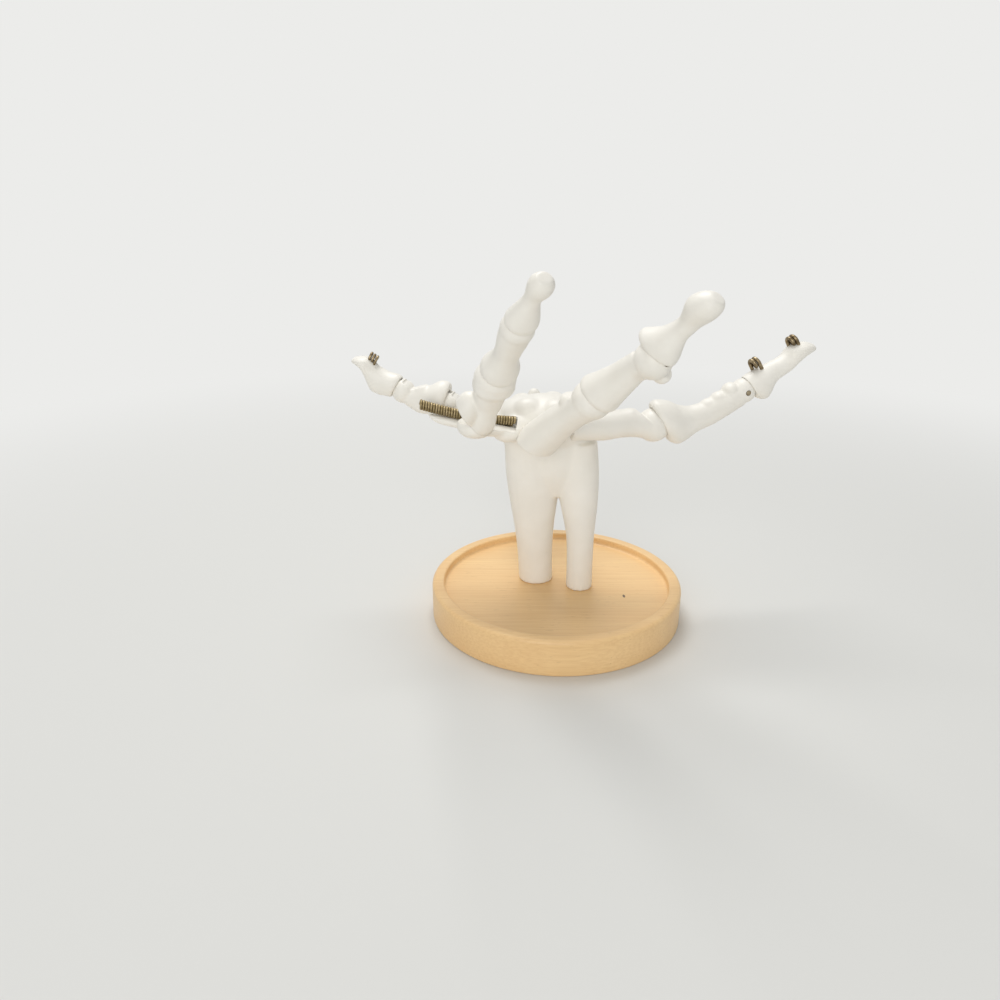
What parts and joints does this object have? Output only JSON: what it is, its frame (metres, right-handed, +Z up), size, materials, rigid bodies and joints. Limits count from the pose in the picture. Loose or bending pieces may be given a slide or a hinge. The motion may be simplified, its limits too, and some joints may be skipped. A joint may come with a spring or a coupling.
{
  "type": "skeleton hand jewelry stand",
  "caption": "Skeleton hand jewelry stand: a turned wooden tray carries an upright forearm whose spread, hinged fingers hold rings and bracelets, with bronze coils for earring hooks.",
  "frame": {"origin": "centre of the base disc's underside, on the surface that the stand rests on", "axes": "+Z up along the turned base's axis, +X to the right of the picture's view, towards the ring finger, +Y away from the viewer, towards the little finger"},
  "size_m": [0.1742, 0.1401, 0.1377],
  "materials": {
    "beech_wood": "turned and sanded pale beech under thin satin lacquer",
    "white_plastic": "moulded warm white plastic with a satin skin",
    "pin_steel": "dull drawn steel wire",
    "screw_steel": "bright zinc-plated steel",
    "aged_bronze": "antique bronze plated spring wire with bright crowns"
  },
  "bodies": {
    "stand": {"base_disc": "beech_wood", "radius_screw": "screw_steel", "ulna_screw": "screw_steel", "forearm": "white_plastic", "palm_spring": "aged_bronze", "thumb_metacarpal": "white_plastic", "index_metacarpal": "white_plastic", "middle_metacarpal": "white_plastic", "ring_metacarpal": "white_plastic", "little_metacarpal": "white_plastic", "thumb_knuckle_pin": "pin_steel", "index_knuckle_pin": "pin_steel", "middle_knuckle_pin": "pin_steel", "ring_knuckle_pin": "pin_steel", "little_knuckle_pin": "pin_steel"},
    "thumb_proximal": {"thumb_proximal": "white_plastic", "thumb_tip_pin": "pin_steel"},
    "thumb_distal": {"thumb_distal": "white_plastic", "thumb_coil": "aged_bronze"},
    "index_proximal": {"index_proximal": "white_plastic", "index_tip_pin": "pin_steel"},
    "index_distal": {"index_distal": "white_plastic"},
    "middle_proximal": {"middle_proximal": "white_plastic", "middle_tip_pin": "pin_steel"},
    "middle_distal": {"middle_distal": "white_plastic"},
    "ring_proximal": {"ring_proximal": "white_plastic", "ring_tip_pin": "pin_steel"},
    "ring_distal": {"ring_distal": "white_plastic", "ring_middle_coil": "aged_bronze", "ring_tip_coil": "aged_bronze"},
    "little_proximal": {"little_proximal": "white_plastic", "little_tip_pin": "pin_steel"},
    "little_distal": {"little_distal": "white_plastic"}
  },
  "joints": [
    {"name": "thumb_knuckle_hinge", "type": "hinge", "parent": "stand", "child": "thumb_proximal", "pos_m": [-0.04128, 0.00402, 0.08516], "axis": [0.1736, 0.9848, 0], "range_deg": [-18.6, 61.4]},
    {"name": "thumb_tip_hinge", "type": "hinge", "parent": "thumb_proximal", "child": "thumb_distal", "pos_m": [-0.05918, 0.00717, 0.08956], "axis": [0.1736, 0.9848, 0], "range_deg": [-47.1, 32.9]},
    {"name": "index_knuckle_hinge", "type": "hinge", "parent": "stand", "child": "index_proximal", "pos_m": [-0.02432, -0.02706, 0.1013], "axis": [-0.9426, -0.3338, 0], "range_deg": [-18, 62]},
    {"name": "index_tip_hinge", "type": "hinge", "parent": "index_proximal", "child": "index_distal", "pos_m": [-0.01746, -0.04643, 0.12046], "axis": [-0.9426, -0.3338, 0], "range_deg": [-27, 53]},
    {"name": "middle_knuckle_hinge", "type": "hinge", "parent": "stand", "child": "middle_proximal", "pos_m": [0.00799, -0.03013, 0.09492], "axis": [-0.7581, -0.6521, 0], "range_deg": [-25.5, 54.5]},
    {"name": "middle_tip_hinge", "type": "hinge", "parent": "middle_proximal", "child": "middle_distal", "pos_m": [0.02357, -0.04825, 0.11135], "axis": [-0.7581, -0.6521, 0], "range_deg": [-41.2, 38.8]},
    {"name": "ring_knuckle_hinge", "type": "hinge", "parent": "stand", "child": "ring_proximal", "pos_m": [0.03504, -0.00071, 0.0783], "axis": [0.1547, -0.988, 0], "range_deg": [-49.1, 30.9]},
    {"name": "ring_tip_hinge", "type": "hinge", "parent": "ring_proximal", "child": "ring_distal", "pos_m": [0.06902, 0.00461, 0.09021], "axis": [0.1547, -0.988, 0], "range_deg": [-42.1, 37.9]},
    {"name": "little_knuckle_hinge", "type": "hinge", "parent": "stand", "child": "little_proximal", "pos_m": [-0.0087, 0.03398, 0.0758], "axis": [0.9994, 0.0349, 0], "range_deg": [-14, 66]},
    {"name": "little_tip_hinge", "type": "hinge", "parent": "little_proximal", "child": "little_distal", "pos_m": [-0.00943, 0.05489, 0.069], "axis": [0.9994, 0.0349, 0], "range_deg": [-26, 54]}
  ]
}
